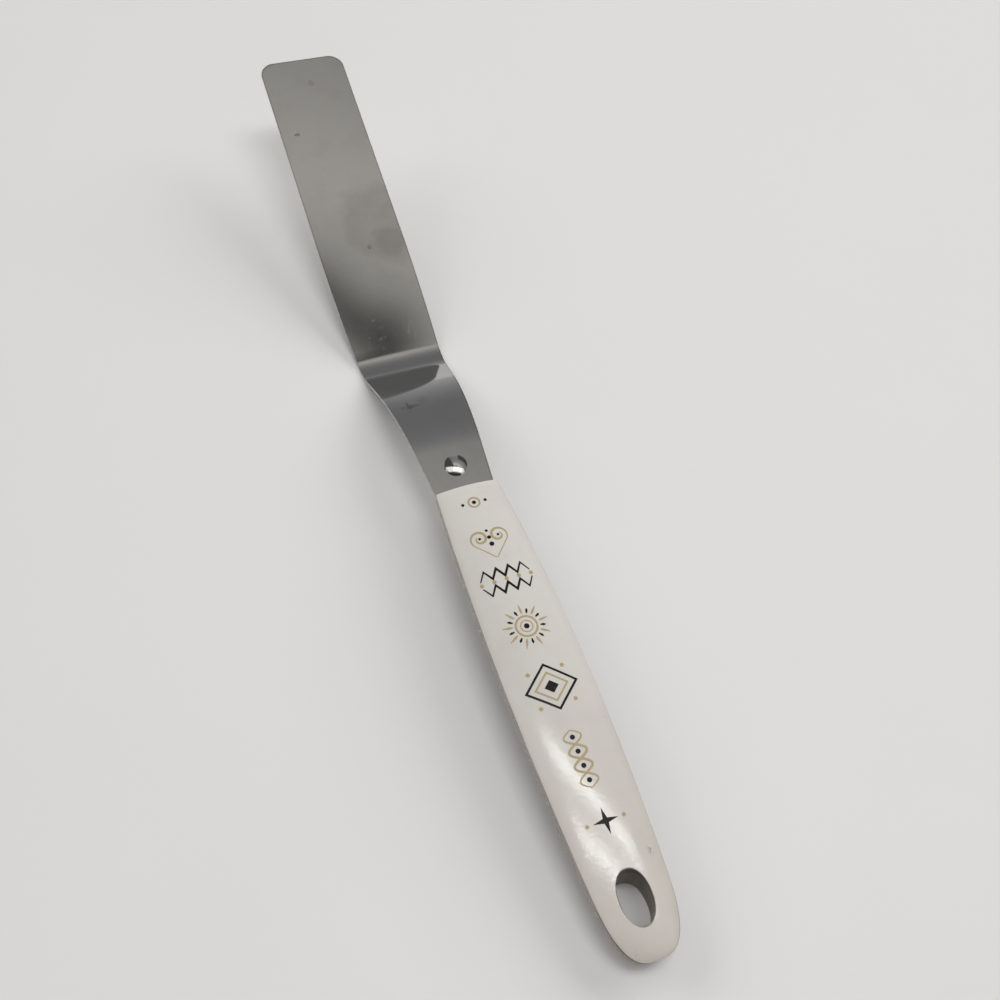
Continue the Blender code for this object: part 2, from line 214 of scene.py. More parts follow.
class RivetSettings(bpy.types.PropertyGroup):
    """The two halves of the rivet."""

    setback: length("Setback", "Middle of the rivet, ahead of the handle", 0.0094)
    head_diameter: length("Head diameter", "Diameter of both heads", 0.0071)
    dome_height: length("Dome height", "Height of the pin's dome", 0.0012)
    stem_diameter: length("Stem diameter", "Diameter of the pin's stem", 0.0026)
    socket_wall: length("Socket wall", "Wall of the socket's barrel", 0.0007)
    socket_head: length("Socket head", "Height of the socket's head", 0.0010)
    socket_floor: length("Socket floor", "Thickness of the floor below the socket's bore", 0.0005)
    grip: length("Grip", "Thickness of tongue that the rivet clamps", 0.0026)
    clearance: length("Clearance", "Gap between the rivet and what it clamps", 0.0002)
    head_gap: length("Head gap", "Gap left below the dome's rim", 0.00002)
    head_rim: length("Head rim", "Height of the rim below the dome", 0.0006)
    plating: colour("Plating", "Colour of the bright plating", (0.80, 0.79, 0.775))
    worn_plating: colour("Worn plating", "Colour where the plating has dulled", (0.50, 0.485, 0.465))


class PrintSettings(bpy.types.PropertyGroup):
    """The two inks on the handle's top."""

    start: length("Start", "First motif, behind the handle's front", 0.0070)
    thickness: length("Thickness", "How far the ink stands above the plastic", 0.00003)
    key_depth: length("Key depth", "How far the ink reaches into the plastic", 0.00005)
    gold: colour("Gold", "Colour of the gold ink", (0.430, 0.345, 0.185))
    pale_gold: colour("Pale gold", "Colour of the gold ink where it is thin", (0.50, 0.43, 0.29))
    black: colour("Black", "Colour of the black ink", (0.012, 0.010, 0.010))
    grey: colour("Grey", "Colour of the black ink where it is thin", (0.12, 0.105, 0.095))


class StageSettings(bpy.types.PropertyGroup):
    """Floor, light and camera."""

    floor_colour: colour("Floor", "Colour of the floor", (0.810, 0.810, 0.820))
    floor_size: length("Floor size", "Side of the square floor", 8.0)
    tube_height: length("Tube height", "Height of the two long lamps over the floor", 1.2)
    tube_width: length("Tube width", "Width of each long lamp", 0.035)
    tube_power: power("Tube power", "Power of each long lamp", 1.8)
    sky_level: number("Surround level", "Strength of the light from all round", 1.0)
    box_distance: length("Soft box distance", "Distance of the two soft boxes from the knife", 4.0)
    box_height: length("Soft box height", "Height of the two soft boxes", 2.0)
    right_power: power("Right power", "Power of the soft box in front, at the right", 112.0)
    left_power: power("Left power", "Power of the soft box in front, at the left", 66.0)
    rear_level: number("Rear level", "Brightness of the wall behind", 0.5)
    panel_level: number("Panel level", "Brightness of the ceiling overhead", 0.95)
    side_level: number("Side level", "Brightness of the walls at both sides", 0.06)
    camera_place: place("Camera", "Place of the camera", (-0.195332, 0.073720, 0.277132))
    camera_turn: FloatVectorProperty(
        name="Camera turn",
        description="Rotation of the camera about X, Y and Z",
        default=[math.radians(degrees) for degrees in (34.2320, -4.4432, -110.5658)],
        size=3,
        subtype="EULER",
        unit="ROTATION",
    )
    camera_lens: number("Lens", "Focal length of the camera in millimetres", 37.44)


class KnifeSettings(bpy.types.PropertyGroup):
    """All the settings of the knife and its stage."""

    blade: group(BladeSettings, "Blade", "Sizes and colours of the blade")
    handle: group(HandleSettings, "Handle", "Sizes and colours of the handle")
    rivet: group(RivetSettings, "Rivet", "Sizes and colours of the rivet")
    printing: group(PrintSettings, "Print", "Sizes and colours of the print")
    stage: group(StageSettings, "Stage", "Floor, light and camera")


# Shape of the sheet

def heel_arc(blade):
    return blade.heel_radius * blade.riser_angle


def crest_arc(blade):
    return blade.crest_radius * (blade.riser_angle - blade.shank_angle)


def handle_front(blade):
    """Length along the sheet, from the heel, at which the shank meets the handle."""
    return heel_arc(blade) + blade.riser_length + crest_arc(blade) + blade.shank_length


def sheet_point(blade, from_heel):
    """Point on the sheet's upper face and its slope, at a length from the heel to the handle."""
    runs = (
        (heel_arc(blade), 1.0 / blade.heel_radius),
        (blade.riser_length, 0.0),
        (crest_arc(blade), -1.0 / blade.crest_radius),
        (math.inf, 0.0),
    )
    spot = Vector((-min(from_heel, 0.0), 0.0, 0.0))
    slope = 0.0
    left = max(from_heel, 0.0)
    for run, bend in runs:
        step = min(run, left)
        onward = slope + step * bend
        if bend:
            spot.x -= (math.sin(onward) - math.sin(slope)) / bend
            spot.z += (math.cos(slope) - math.cos(onward)) / bend
        else:
            spot.x -= step * math.cos(slope)
            spot.z += step * math.sin(slope)
        slope = onward
        left -= step
    return spot, slope


def up(slope):
    """Unit vector square to a line that climbs towards -X at a slope."""
    return Vector((math.sin(slope), 0.0, math.cos(slope)))


def back(slope):
    """Unit vector along a line that climbs towards -X at a slope."""
    return Vector((-math.cos(slope), 0.0, math.sin(slope)))


def sheet_half_width(blade, from_heel):
    """Half the blank's width: parallel, then a parabolic sweep, then a straight taper."""
    total = blade.waist_start + handle_front(blade)
    drop = (blade.width - blade.shank_end_width) / 2
    taper = drop / (total - blade.waist_sweep / 2)
    drawn = max(from_heel + blade.waist_start, 0.0)
    swept = min(drawn, blade.waist_sweep)
    return blade.width / 2 - taper * (swept**2 / (2 * blade.waist_sweep) + drawn - swept)


def tang_half_width(blade):
    return blade.shank_end_width / 2 - blade.tang_shoulder


def blade_stations(knife):
    """Lengths from the heel and half widths along the blank, from the tip to the handle's front."""
    blade = knife.blade
    straight = blade.flat_length - blade.tip_corner
    for step in range(ARC_STEPS, 0, -1):
        turn = math.pi / 2 * step / ARC_STEPS
        from_heel = -straight - blade.tip_corner * math.sin(turn)
        yield from_heel, sheet_half_width(blade, from_heel) - blade.tip_corner * (1 - math.cos(turn))
    lengths = [-straight - (blade.waist_start - straight) * step / ARC_STEPS for step in range(ARC_STEPS)]
    lengths += [-blade.waist_start * (1 - step / ARC_STEPS) for step in range(ARC_STEPS)]
    lengths += [heel_arc(blade) * step / ARC_STEPS for step in range(ARC_STEPS)]
    lengths += [heel_arc(blade) + blade.riser_length * step / ARC_STEPS for step in range(ARC_STEPS)]
    crest = heel_arc(blade) + blade.riser_length
    lengths += [crest + crest_arc(blade) * step / CREST_STEPS for step in range(CREST_STEPS + 1)]
    lengths.append(handle_front(blade) - knife.handle.seat_gap)
    for from_heel in lengths:
        yield from_heel, sheet_half_width(blade, from_heel)


def tang_stations(blade):
    """Lengths and half widths along the tang, from the handle's front to its rounded end."""
    straight = handle_front(blade) + blade.tang_length - blade.tang_corner
    for step in range(ARC_STEPS + 1):
        turn = math.pi / 2 * step / ARC_STEPS
        from_heel = straight + blade.tang_corner * math.sin(turn)
        yield from_heel, tang_half_width(blade) - blade.tang_corner * (1 - math.cos(turn))


def sheet_skin(knife):
    """The sheet's upper face, from the tip to the end of the tang."""
    blade = knife.blade
    mesh = bmesh.new()
    inner = tang_half_width(blade) / (blade.shank_end_width / 2)
    rim = mesh.verts.layers.float.new(RIM)
    rows = []
    for from_heel, half in blade_stations(knife):
        spot, _ = sheet_point(blade, from_heel)
        rows.append([])
        for share in (-1.0, -inner, inner, 1.0):
            corner = mesh.verts.new(spot + Vector((0.0, half * share, 0.0)))
            corner[rim] = RIM_ZERO - min(half * (1 - abs(share)), from_heel + blade.flat_length)
            rows[-1].append(corner)
    for near, far in zip(rows, rows[1:]):
        for column in range(3):
            mesh.faces.new((near[column], near[column + 1], far[column + 1], far[column]))
    end = rows[-1][1:3]
    for from_heel, half in tang_stations(blade):
        spot, _ = sheet_point(blade, from_heel)
        row = [mesh.verts.new(spot + Vector((0.0, across, 0.0))) for across in (-half, half)]
        mesh.faces.new((end[0], end[1], row[1], row[0]))
        end = row
    return mesh


# Shape of the handle

def handle_point(knife, along):
    """Point midway between the handle's top edges and its slope, at a length from its front."""
    handle = knife.handle
    spot, slope = sheet_point(knife.blade, handle_front(knife.blade))
    start = slope + handle.pitch
    onward = start - along / handle.arch_radius
    spot = spot + up(slope) * handle.front_step
    spot.x -= handle.arch_radius * (math.sin(start) - math.sin(onward))
    spot.z += handle.arch_radius * (math.cos(onward) - math.cos(start))
    return spot, onward


def handle_side(knife, along):
    """Half the handle's width before its butt is rounded off."""
    handle = knife.handle
    widest = knife.blade.shank_end_width / 2 + handle.front_overhang + handle.side_swell
    if along < handle.widest_at:
        return widest - handle.side_swell * (1 - along / handle.widest_at) ** 2
    rearward = (along - handle.widest_at) / (handle.length - handle.widest_at)
    return widest - handle.butt_narrowing * rearward**2


def handle_depth(handle, along):
    """Depth of the underside below the handle's top edges."""
    if along < handle.deepest_at:
        rise = handle.deepest_depth - handle.front_depth
        return handle.deepest_depth - rise * (1 - along / handle.deepest_at) ** 2
    swept = (along - handle.deepest_at) / (handle.length - handle.deepest_at)
    return handle.deepest_depth - (handle.deepest_depth - handle.butt_depth) * swept**handle.butt_sweep


def handle_top(knife, along, across, height):
    """Point at a height above the handle's crowned top, from places along and across it."""
    spot, slope = handle_point(knife, along)
    radius = knife.handle.crown_radius
    crown = (handle_side(knife, along) ** 2 - across**2) / (2 * radius)
    square = (up(slope) + Vector((0.0, across / radius, 0.0))).normalized()
    return spot + Vector((0.0, across, 0.0)) + up(slope) * crown + square * height


def oval(turn, squareness):
    """Unit oval's cosine-like and sine-like legs at an angle."""
    legs = (math.cos(turn), math.sin(turn))
    return [math.copysign(abs(leg) ** (2 / squareness), leg) for leg in legs]


def section(handle, half, crown, depth, band):
    """Right half of a moulded section, from the middle of its top to the middle of its underside.

    The points are (across, up) from the level of the top edges: a crowned top that runs into a
    small round on the edge, a drafted side band and an oval underside.
    """
    edge = min(handle.edge_radius, half * ROUND_SHARE_OF_WALL, band * ROUND_SHARE_OF_WALL)
    turn = math.pi / 2 - math.atan(2 * crown / half)
    brow = half - edge + edge * math.cos(turn)
    points = []
    for step in range(TOP_STEPS):
        across = brow * step / TOP_STEPS
        points.append((across, crown * (1 - (across / half) ** 2)))
    centre = crown * (1 - (brow / half) ** 2) - edge * math.sin(turn)
    for step in range(EDGE_STEPS + 1):
        bend = turn * (1 - step / EDGE_STEPS)
        points.append((half - edge + edge * math.cos(bend), centre + edge * math.sin(bend)))
    lower = half - min(band * math.tan(handle.side_draft), edge)
    for step in range(UNDERSIDE_STEPS + 1):
        leg_across, leg_down = oval(math.pi / 2 * step / UNDERSIDE_STEPS, handle.underside_power)
        points.append((lower * leg_across, -band - (depth - band) * leg_down))
    points[-1] = (0.0, -depth)
    return points


def ring(spot, slope, half_section):
    """Closed ring of points from a half section and its mirror image, stood square to a line."""
    rise = up(slope)
    whole = half_section + [(-across, height) for across, height in half_section[-2:0:-1]]
    return [spot + Vector((0.0, across, 0.0)) + rise * height for across, height in whole]


def rim_distances(half_section):
    """Distance of each of a ring's points from the top edge, round the section; above it is negative."""
    steps = [math.dist(*pair) for pair in zip(half_section, half_section[1:])]
    edge = sum(steps[:TOP_STEPS + EDGE_STEPS // 2])
    run = [sum(steps[:index]) - edge for index in range(len(half_section))]
    return run + run[-2:0:-1]


def handle_rings(knife):
    """Rings of the handle from its rounded front rim to its rounded butt, with their rim distances."""
    handle = knife.handle
    stations = []
    for step in range(EDGE_STEPS):
        turn = math.pi / 2 * step / EDGE_STEPS
        inset = handle.front_round * (1 - math.sin(turn))
        stations.append((handle.front_round * (1 - math.cos(turn)), 1.0, inset))
    round_start = handle.length - handle.butt_round
    straight = round_start - handle.front_round
    for step in range(HANDLE_STEPS):
        stations.append((handle.front_round + straight * step / HANDLE_STEPS, 1.0, 0.0))
    for step in range(BUTT_STEPS):
        inward, onward = oval(math.pi / 2 * step / BUTT_STEPS, handle.butt_power)
        stations.append((round_start + (handle.butt_round - BUTT_TRIM) * onward, inward, 0.0))
    for along, share, inset in stations:
        spot, slope = handle_point(knife, along)
        half = handle_side(knife, along) * share
        depth = handle_depth(handle, along)
        band = min(handle.side_band, depth / 2)
        crown = half**2 / (2 * handle.crown_radius)
        shape = section(handle, half - inset, crown, depth - 2 * inset, band)
        yield ring(spot - up(slope) * inset, slope, shape), rim_distances(shape)


def seat_depth(knife):
    """Depth of the tongue's seat below the shank's upper face."""
    return knife.blade.thickness + knife.handle.seat_gap


def tongue_rings(knife):
    """Sections of the tongue below the shank, from its tip to a root inside the handle."""
    blade = knife.blade
    handle = knife.handle
    front = handle_front(blade)
    root = handle.front_depth - handle.front_step - seat_depth(knife) - handle.tongue_root_step
    tip = front - handle.tongue_length
    stations = []
    for step in range(ARC_STEPS):
        turn = math.pi / 2 * (1 - step / ARC_STEPS)
        ahead = handle.tongue_corner * (1 - math.sin(turn))
        stations.append((tip + ahead, handle.tongue_corner * (1 - math.cos(turn))))
    straight = handle.tongue_length - handle.tongue_corner + handle.tongue_overlap
    for step in range(ARC_STEPS + 1):
        stations.append((tip + handle.tongue_corner + straight * step / ARC_STEPS, 0.0))
    for from_heel, corner in stations:
        spot, slope = sheet_point(blade, from_heel)
        half = sheet_half_width(blade, min(from_heel, front)) - handle.tongue_inset - corner
        share = min((from_heel - tip) / handle.tongue_length, 1.0)
        thickness = handle.tongue_tip + (root - handle.tongue_tip) * share
        seat = spot - up(slope) * seat_depth(knife)
        yield ring(seat, slope, section(handle, half, 0.0, thickness, handle.tongue_band))


def hole_rings(knife):
    """Sections of the hanging hole, from below the handle up to a rim that flares into its top."""
    handle = knife.handle
    middle, slope = handle_point(knife, handle.length - handle.hole_setback)
    lean = handle.hole_lean
    half = handle_side(knife, handle.length - handle.hole_setback)
    flares = [(0.0, -handle.deepest_depth - CUTTER_MARGIN)]
    for step in range(EDGE_STEPS + 1):
        turn = math.pi / 2 * step / EDGE_STEPS
        flares.append((handle.hole_round * (1 - math.cos(turn)), -handle.hole_round * (1 - math.sin(turn))))
    for wider, lift in [*flares, (handle.hole_round, CUTTER_MARGIN)]:
        points = []
        for step in range(ROUND_STEPS):
            leg_along, leg_across = oval(2 * math.pi * step / ROUND_STEPS, handle.hole_power)
            along = (handle.hole_length / 2 + wider) * leg_along
            across = (handle.hole_width / 2 + wider) * leg_across
            surface = (half**2 - across**2) / (2 * handle.crown_radius)
            height = (surface - along * math.sin(lean)) / math.cos(lean) + lift
            flat = middle + back(slope + lean) * along + Vector((0.0, across, 0.0))
            points.append(flat + up(slope + lean) * height)
        yield points


# Solids

def loft(rings):
    """Closed skin over a row of rings that have equally many points."""
    mesh = bmesh.new()
    rows = [[mesh.verts.new(point) for point in points] for points in rings]
    for near, far in zip(rows, rows[1:]):
        for index in range(len(near)):
            follow = (index + 1) % len(near)
            mesh.faces.new((near[index], near[follow], far[follow], far[index]))
    mesh.faces.new(rows[0])
    mesh.faces.new(rows[-1])
    bmesh.ops.recalc_face_normals(mesh, faces=mesh.faces)
    return mesh


def handle_body(knife):
    """The handle's skin, whose vertices carry their distance from the top edge."""
    rings, distances = zip(*handle_rings(knife))
    mesh = loft(rings)
    rim = mesh.verts.layers.float.new(RIM)
    for vertex, distance in zip(mesh.verts, [one for row in distances for one in row]):
        vertex[rim] = RIM_ZERO + distance
    return mesh


def lathe(profile, spot, slope):
    """Solid of revolution about a line square to a slope, from (radius, height) points."""
    mesh = bmesh.new()
    places = [spot + back(slope) * radius + up(slope) * height for radius, height in profile]
    points = [mesh.verts.new(place) for place in places]
    edges = [mesh.edges.new(pair) for pair in zip(points, points[1:])]
    bmesh.ops.spin(
        mesh,
        geom=points + edges,
        cent=spot,
        axis=up(slope),
        angle=2 * math.pi,
        steps=ROUND_STEPS,
        use_merge=True,
    )
    bmesh.ops.remove_doubles(mesh, verts=mesh.verts, dist=MERGE_DISTANCE)
    bmesh.ops.recalc_face_normals(mesh, faces=mesh.faces)
    return mesh


def add_object(name, mesh):
    """Scene object from a bmesh, with no material yet."""
    data = bpy.data.meshes.new(name)
    mesh.to_mesh(data)
    mesh.free()
    made = bpy.data.objects.new(name, data)
    bpy.context.scene.collection.objects.link(made)
    return made


def smooth(piece):
    """Shades a piece smooth, apart from its sharp edges."""
    piece.data.shade_smooth()
    piece.data.set_sharp_from_angle(angle=SHARP_ANGLE)


def boolean(target, tool, operation):
    """Joins a tool to an object, or cuts the object with it."""
    step = target.modifiers.new(tool.name, "BOOLEAN")
    step.object = tool
    step.operation = operation
    step.solver = "EXACT"


def settle(piece):
    """Applies a piece's modifiers and removes the tools that they used."""
    tools = [step.object for step in piece.modifiers if step.type == "BOOLEAN"]
    shape = piece.evaluated_get(bpy.context.evaluated_depsgraph_get())
    finished = bpy.data.meshes.new_from_object(shape)
    piece.modifiers.clear()
    piece.data = finished
    for tool in tools:
        bpy.data.objects.remove(tool)


def resting_pose(blade):
    """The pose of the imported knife, read off its blade's flat face and highest corner."""
    face = next(mount for mount in frame["record"]["mounts"] if mount["name"] == "blade_face")
    pitch = math.atan2(face["axis"][0], -face["axis"][2])
    _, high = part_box("blade")
    reach = blade.flat_length * math.cos(pitch) + blade.thickness * math.sin(pitch)
    spot = Vector((high[0] - reach, 0.0, high[2] - blade.flat_length * math.sin(pitch)))
    return Matrix.Translation(spot) @ Matrix.Rotation(-pitch, 4, "Y")


def fit(piece, knife, finish, node=None):
    """Lays a piece in the knife's pose, gives it its finish and ties it to the frame."""
    piece.data.transform(resting_pose(knife.blade))
    piece.data.materials.clear()
    piece.data.materials.append(finish)
    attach(piece, "root")
    if node:
        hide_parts(node)


def rivet_place(knife):
    return sheet_point(knife.blade, handle_front(knife.blade) - knife.rivet.setback)


def socket_bore(rivet):
    """Radius of the hole in the socket's barrel, which takes the pin's stem."""
    return rivet.stem_diameter / 2 + rivet.clearance


def socket_barrel(rivet):
    """Radius of the outside of the socket's barrel."""
    return socket_bore(rivet) + rivet.socket_wall


def rivet_bore(knife, name):
    """Cutter for the rivet's barrel, right through the shank and the tongue."""
    radius = socket_barrel(knife.rivet) + knife.rivet.clearance
    reach = seat_depth(knife) + knife.rivet.grip + CUTTER_MARGIN
    profile = ((0.0, CUTTER_MARGIN), (radius, CUTTER_MARGIN), (radius, -reach), (0.0, -reach))
    return add_object(name, lathe(profile, *rivet_place(knife)))


def spot_face(knife):
    """Cutter that seats the socket's head flat in the tongue's underside."""
    radius = knife.rivet.head_diameter / 2 + knife.rivet.clearance
    seat = -seat_depth(knife) - knife.rivet.grip
    below = seat - CUTTER_MARGIN
    profile = ((0.0, seat), (radius, seat), (radius, below), (0.0, below))
    return add_object("spot_face", lathe(profile, *rivet_place(knife)))


def tang_slot(knife):
    """Cutter for the slot that takes the tang."""
    spot, slope = sheet_point(knife.blade, handle_front(knife.blade))
    gap = knife.handle.slot_clearance
    half = tang_half_width(knife.blade) + gap
    far = knife.blade.tang_length + gap
    outline = ((-CUTTER_MARGIN, -half), (-CUTTER_MARGIN, half), (far, half), (far, -half))
    flat = [spot + back(slope) * along + Vector((0.0, across, 0.0)) for along, across in outline]
    heights = (-knife.blade.thickness - gap, gap)
    rings = [[point + up(slope) * height for point in flat] for height in heights]
    return add_object("tang_slot", loft(rings))


# Finishes

class Wire:
    """A socket of a node tree; sums on wires and numbers add their Math nodes to that tree."""

    def __init__(self, tree, socket=None):
        self.tree = tree
        self.socket = socket

    def node(self, kind, settings=None, sockets=None, output=0):
        """Adds a node, sets it, feeds its sockets and gives the wire of one of its outputs."""
        made = self.tree.nodes.new(kind)
        for name, value in (settings or {}).items():
            setattr(made, name, value)
        for name, value in (sockets or {}).items():
            plug(self.tree, made.inputs[name], value)
        return Wire(self.tree, made.outputs[output])

    def math(self, operation, first, second=0.0):
        return self.node("ShaderNodeMath", {"operation": operation}, {0: first, 1: second})

    def __add__(self, other):
        return self.math("ADD", self, other)

    __radd__ = __add__

    def __sub__(self, other):
        return self.math("SUBTRACT", self, other)

    def __rsub__(self, other):
        return self.math("SUBTRACT", other, self)

    def __mul__(self, other):
        return self.math("MULTIPLY", self, other)

    __rmul__ = __mul__

    def __abs__(self):
        return self.math("ABSOLUTE", self)

    def rise(self, low, high):
        """Goes smoothly from 0 to 1 as this wire goes from low to high."""
        return self.node(
            "ShaderNodeMapRange",
            {"interpolation_type": "SMOOTHSTEP"},
            {"Value": self, "From Min": low, "From Max": high},
        )

    def mix(self, first, second):
        """Goes from one colour to another as this wire goes from 0 to 1."""
        return self.node("ShaderNodeMix", {"data_type": "RGBA"}, {0: self, 6: first, 7: second}, 2)

    def vector(self, operation, other, output="Vector"):
        """Vector Math of this wire and a vector."""
        return self.node("ShaderNodeVectorMath", {"operation": operation}, {0: self, 1: other}, output)

    def noise(self, scale, detail=2.0, roughness=0.5, stretch=(1.0, 1.0, 1.0)):
        """Noise from 0 to 1 at the place that this wire gives."""
        sockets = {
            "Vector": self.vector("MULTIPLY", stretch),
            "Scale": scale,
            "Detail": detail,
            "Roughness": roughness,
        }
        return self.node("ShaderNodeTexNoise", None, sockets)

    def patch(self, middle, reach, ragged, raggedness=0.5):
        """Soft oval spot: 1 in its middle, 0 outside, with an edge that a noise makes ragged."""
        offset = self.vector("SUBTRACT", middle)
        scaled = offset.vector("DIVIDE", reach).vector("LENGTH", (0.0, 0.0, 0.0), "Value")
        return 1 - (scaled + (ragged - 0.5) * raggedness).rise(0.55, 1.0)

    def patches(self, spots, ragged):
        """Sum of soft spots from rows of middle, reach, raggedness and weight."""
        total = 0
        for middle, reach, raggedness, weight in spots:
            total = total + self.patch(middle, reach, ragged, raggedness) * weight
        return total


def plug(tree, socket, value):
    """Links a wire to a socket, or sets the socket to a value."""
    if isinstance(value, Wire):
        tree.links.new(value.socket, socket)
    elif socket.type == "RGBA":
        socket.default_value = (*value, 1.0)
    else:
        socket.default_value = value


def start_finish(name, pose=None):
    """A new material and a wire into its tree that gives places in the frame of a pose."""
    made = bpy.data.materials.new(name)
    made.use_nodes = True
    where = Wire(made.node_tree).node("ShaderNodeTexCoord", output="Object")
    if pose:
        sockets = {"Vector": where, "Location": pose.to_translation(), "Rotation": pose.to_euler()}
        where = where.node("ShaderNodeMapping", {"vector_type": "TEXTURE"}, sockets)
    return made, where


def end_finish(made, **sockets):
    """Feeds the material's shader; a socket's name is written with underscores."""
    shader = made.node_tree.nodes["Principled BSDF"]
    for name, value in sockets.items():
        plug(made.node_tree, shader.inputs[name.replace("_", " ").title().replace("Ior", "IOR")], value)
    return made


# Shares of worn plating, and the inks' wear and gloss
PIN_WEAR = 0.15
SOCKET_WEAR = 0.45
GOLD_WEAR_AND_GLOSS = (0.20, 0.4)
BLACK_WEAR_AND_GLOSS = (0.05, 0.15)

# Marks on the steel, as rows of middle, reach, raggedness and weight
SPOTS = (
    ((0.0434, -0.0025, 0.0), (0.0012, 0.0009, 0.01), 0.8, 0.8),
    ((0.0964, 0.0100, 0.0), (0.0008, 0.0013, 0.01), 0.5, 2.2),
    ((0.1188, -0.0015, 0.0), (0.0018, 0.0013, 0.01), 1.2, 0.5),
)
SMUDGES_FROM_HEEL = 0.0355
SMUDGES = (
    ((0.0, 0.0058, 0.0), (0.0011, 0.0042, 0.004), 1.6, 1.0),
    ((0.0004, 0.0066, 0.0), (0.0034, 0.0007, 0.004), 1.4, 1.0),
    ((0.0025, 0.0010, 0.0), (0.0030, 0.0030, 0.004), 1.6, 0.3),
)


def hairlines(where, scale, width, stretch):
    """Thin wandering scratches: the level lines of a stretched noise."""
    level = where.noise(scale, 1.0, 0.4, stretch)
    return 1 - abs(level - 0.5).rise(0.0, width)


def steel_finish(knife):
    """Rolled sheet, satin and faintly lined, with stains, spots, scratches and painted shade on its cut
    edges.
    """
    blade = knife.blade
    made, where = start_finish("rolled_steel", resting_pose(blade))
    rim = where.node("ShaderNodeAttribute", {"attribute_name": RIM}, None, "Fac") - RIM_ZERO
    grain = where.noise(1.0, 3.0, 0.6, (60.0, 2600.0, 2600.0))
    clouds = where.noise(95.0, 4.0, 0.55)
    fine = where.noise(520.0, 3.0, 0.6)
    film = where.patch((0.0530, -0.0110, 0.0), (0.0195, 0.0185, 0.02), clouds, 0.9)
    dregs = where.patch((0.0445, -0.0110, 0.0), (0.0070, 0.0075, 0.02), clouds, 1.3)
    tide = film * (1 - film) * 4
    spots = where.patches(SPOTS, fine)
    crest, _ = sheet_point(blade, SMUDGES_FROM_HEEL)
    smudges = where.vector("SUBTRACT", crest).patches(SMUDGES, fine) * fine.rise(0.36, 0.56)
    scuffed = where.patch((0.0080, 0.0050, 0.0), (0.0110, 0.0050, 0.02), clouds, 0.6)
    scuffs = hairlines(where, 420.0, 0.016, (1.0, 0.55, 1.0)) * scuffed * fine.rise(0.48, 0.60)
    patches = where.noise(30.0, 2.0).rise(0.50, 0.62)
    scratches = hairlines(where, 150.0, 0.007, (0.45, 1.0, 1.0)) * patches
    ahead = where.vector("DOT_PRODUCT", (1.0, 0.0, 0.0), "Value")
    left = where.vector("DOT_PRODUCT", (0.0, 1.0, 0.0), "Value").rise(0.0, 0.001)
    # Painted shade on the sheet's cut edges, kept off the left edge near the heel and along the shank,
    # where light catches it
    cut = rim.rise(-0.0006, -0.0001) * (1 - left * (1 - ahead.rise(0.020, 0.034)))
    stained = film * (0.16 + clouds * 0.22) + tide * 0.12 + dregs * 0.32 + clouds.rise(0.42, 0.72) * 0.10
    stained = stained + spots * 0.7 + smudges * 0.8 + (fine - 0.5) * 0.16 + (grain - 0.5) * 0.14
    # From here the stain sum also carries the painted shade on the cut edges
    stained = stained + cut * 0.75 - scuffs * 0.12
    tone = stained.mix(blade.steel, blade.tarnish_and_edge_shade)
    roughness = 0.070 + clouds * 0.03 + film * 0.05 + (grain - 0.5) * 0.03
    roughness = roughness + scratches * 0.06 + scuffs * 0.09
    relief = grain * 0.4 + fine * 0.4 - scratches * 0.3
    bump = where.node("ShaderNodeBump", None, {"Strength": 0.06, "Distance": 0.00004, "Height": relief})
    return end_finish(made, base_color=tone, metallic=1.0, roughness=roughness, normal=bump)


